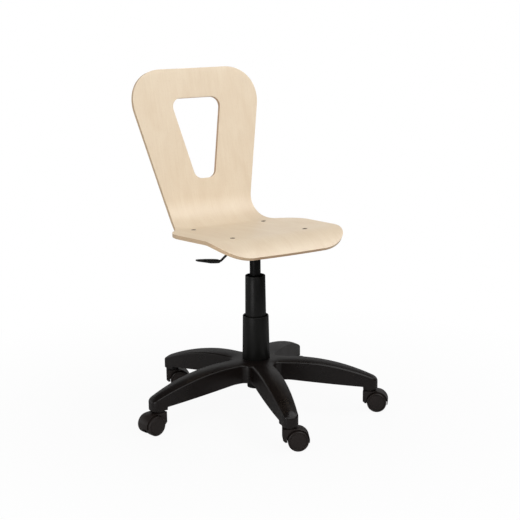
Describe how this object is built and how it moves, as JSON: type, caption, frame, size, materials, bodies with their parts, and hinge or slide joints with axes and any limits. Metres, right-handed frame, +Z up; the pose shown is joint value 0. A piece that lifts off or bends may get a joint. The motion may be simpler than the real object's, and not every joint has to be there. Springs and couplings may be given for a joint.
{
  "type": "office swivel chair",
  "caption": "Swivel office chair: one-piece bent plywood shell with a cut-out back, on a gas lift with a release lever, over a star base on twin-wheel casters.",
  "frame": {"origin": "on the floor, at the middle of the chair's footprint", "axes": "+Z up; the sitter faces -Y; +X is the sitter's left, away from the release lever"},
  "size_m": [0.6346, 0.6481, 0.864],
  "materials": {
    "birch_ply": "clear satin lacquer over pale birch veneer",
    "zinc_steel": "zinc-plated steel",
    "black_enamel": "black enamel, semi-gloss",
    "black_nylon": "black moulded nylon, fine satin",
    "black_rubber": "black rubber"
  },
  "bodies": {
    "base": {"star_base": "black_nylon", "standing_tube": "black_enamel", "guide_bush": "black_nylon", "piston_rod": "zinc_steel", "thrust_washer_lower": "zinc_steel", "ball_cage": "zinc_steel", "thrust_washer_upper": "zinc_steel", "bump_stop": "black_rubber", "rod_clip": "zinc_steel", "column_cover": "black_nylon"},
    "lift": {"gas_cylinder": "black_enamel", "rod_guide": "black_nylon"},
    "release": {"release_pin": "zinc_steel"},
    "seat": {"seat_shell": "birch_ply", "seat_bolt_1": "zinc_steel", "seat_bolt_2": "zinc_steel", "seat_bolt_3": "zinc_steel", "seat_bolt_4": "zinc_steel", "seat_nut_1": "zinc_steel", "seat_nut_2": "zinc_steel", "seat_nut_3": "zinc_steel", "seat_nut_4": "zinc_steel", "seat_plate": "black_enamel", "taper_socket": "black_enamel", "lever_bush": "black_nylon"},
    "lever": {"lever_rod": "black_enamel", "lever_paddle": "black_nylon"},
    "caster_1": {"caster_1_stem": "zinc_steel", "caster_1_hood": "black_nylon", "caster_1_axle": "zinc_steel"},
    "caster_1_left": {"caster_1_wheel_left": "black_nylon"},
    "caster_1_right": {"caster_1_wheel_right": "black_nylon"},
    "caster_2": {"caster_2_stem": "zinc_steel", "caster_2_hood": "black_nylon", "caster_2_axle": "zinc_steel"},
    "caster_2_left": {"caster_2_wheel_left": "black_nylon"},
    "caster_2_right": {"caster_2_wheel_right": "black_nylon"},
    "caster_3": {"caster_3_stem": "zinc_steel", "caster_3_hood": "black_nylon", "caster_3_axle": "zinc_steel"},
    "caster_3_left": {"caster_3_wheel_left": "black_nylon"},
    "caster_3_right": {"caster_3_wheel_right": "black_nylon"},
    "caster_4": {"caster_4_stem": "zinc_steel", "caster_4_hood": "black_nylon", "caster_4_axle": "zinc_steel"},
    "caster_4_left": {"caster_4_wheel_left": "black_nylon"},
    "caster_4_right": {"caster_4_wheel_right": "black_nylon"},
    "caster_5": {"caster_5_stem": "zinc_steel", "caster_5_hood": "black_nylon", "caster_5_axle": "zinc_steel"},
    "caster_5_left": {"caster_5_wheel_left": "black_nylon"},
    "caster_5_right": {"caster_5_wheel_right": "black_nylon"}
  },
  "joints": [
    {"name": "gas_lift", "type": "slide", "parent": "base", "child": "lift", "axis": [0, 0, 1], "range_m": [-0.028, 0.1]},
    {"name": "seat_swivel", "type": "hinge", "parent": "lift", "child": "seat", "pos_m": [0.0255, 0, 0.4252], "axis": [0, 0, 1], "continuous": true},
    {"name": "lever_pivot", "type": "hinge", "parent": "seat", "child": "lever", "pos_m": [-0.02194, 0, 0.4327], "axis": [0, 1, 0], "range_deg": [0, 4.5], "stiffness_Nm_per_rad": 6, "springref_deg": -2.01},
    {"name": "release_press", "type": "slide", "parent": "lift", "child": "release", "axis": [0, 0, -1], "range_m": [0, 0.004]},
    {"name": "caster_1_swivel", "type": "hinge", "parent": "base", "child": "caster_1", "pos_m": [0.26907, -0.16429, 0.0531], "axis": [0, 0, 1], "continuous": true},
    {"name": "caster_1_left_spin", "type": "hinge", "parent": "caster_1", "child": "caster_1_left", "pos_m": [0.29277, -0.16499, 0.025], "axis": [0.6428, 0.766, 0], "continuous": true},
    {"name": "caster_1_right_spin", "type": "hinge", "parent": "caster_1", "child": "caster_1_right", "pos_m": [0.27387, -0.18751, 0.025], "axis": [0.6428, 0.766, 0], "continuous": true},
    {"name": "caster_2_swivel", "type": "hinge", "parent": "base", "child": "caster_2", "pos_m": [0.25702, 0.18088, 0.0531], "axis": [0, 0, 1], "continuous": true},
    {"name": "caster_2_left_spin", "type": "hinge", "parent": "caster_2", "child": "caster_2_left", "pos_m": [0.28072, 0.18101, 0.025], "axis": [0.6157, 0.788, 0], "continuous": true},
    {"name": "caster_2_right_spin", "type": "hinge", "parent": "caster_2", "child": "caster_2_right", "pos_m": [0.26262, 0.15785, 0.025], "axis": [0.6157, 0.788, 0], "continuous": true},
    {"name": "caster_3_swivel", "type": "hinge", "parent": "base", "child": "caster_3", "pos_m": [-0.07499, 0.27608, 0.0531], "axis": [0, 0, 1], "continuous": true},
    {"name": "caster_3_left_spin", "type": "hinge", "parent": "caster_3", "child": "caster_3_left", "pos_m": [-0.05174, 0.28074, 0.025], "axis": [0.454, 0.891, 0], "continuous": true},
    {"name": "caster_3_right_spin", "type": "hinge", "parent": "caster_3", "child": "caster_3_right", "pos_m": [-0.06509, 0.25454, 0.025], "axis": [0.454, 0.891, 0], "continuous": true},
    {"name": "caster_4_swivel", "type": "hinge", "parent": "base", "child": "caster_4", "pos_m": [-0.26812, -0.01025, 0.0531], "axis": [0, 0, 1], "continuous": true},
    {"name": "caster_4_left_spin", "type": "hinge", "parent": "caster_4", "child": "caster_4_left", "pos_m": [-0.28357, -0.02823, 0.025], "axis": [0.1908, -0.9816, 0], "continuous": true},
    {"name": "caster_4_right_spin", "type": "hinge", "parent": "caster_4", "child": "caster_4_right", "pos_m": [-0.28918, 0.00063, 0.025], "axis": [0.1908, -0.9816, 0], "continuous": true},
    {"name": "caster_5_swivel", "type": "hinge", "parent": "base", "child": "caster_5", "pos_m": [-0.05548, -0.28242, 0.0531], "axis": [0, 0, 1], "continuous": true},
    {"name": "caster_5_left_spin", "type": "hinge", "parent": "caster_5", "child": "caster_5_left", "pos_m": [-0.03212, -0.27838, 0.025], "axis": [0.4772, 0.8788, 0], "continuous": true},
    {"name": "caster_5_right_spin", "type": "hinge", "parent": "caster_5", "child": "caster_5_right", "pos_m": [-0.04615, -0.30421, 0.025], "axis": [0.4772, 0.8788, 0], "continuous": true}
  ],
  "couplings": [
    {"joint": "release_press", "follows": "lever_pivot", "m_per_rad": 0.04744}
  ]
}
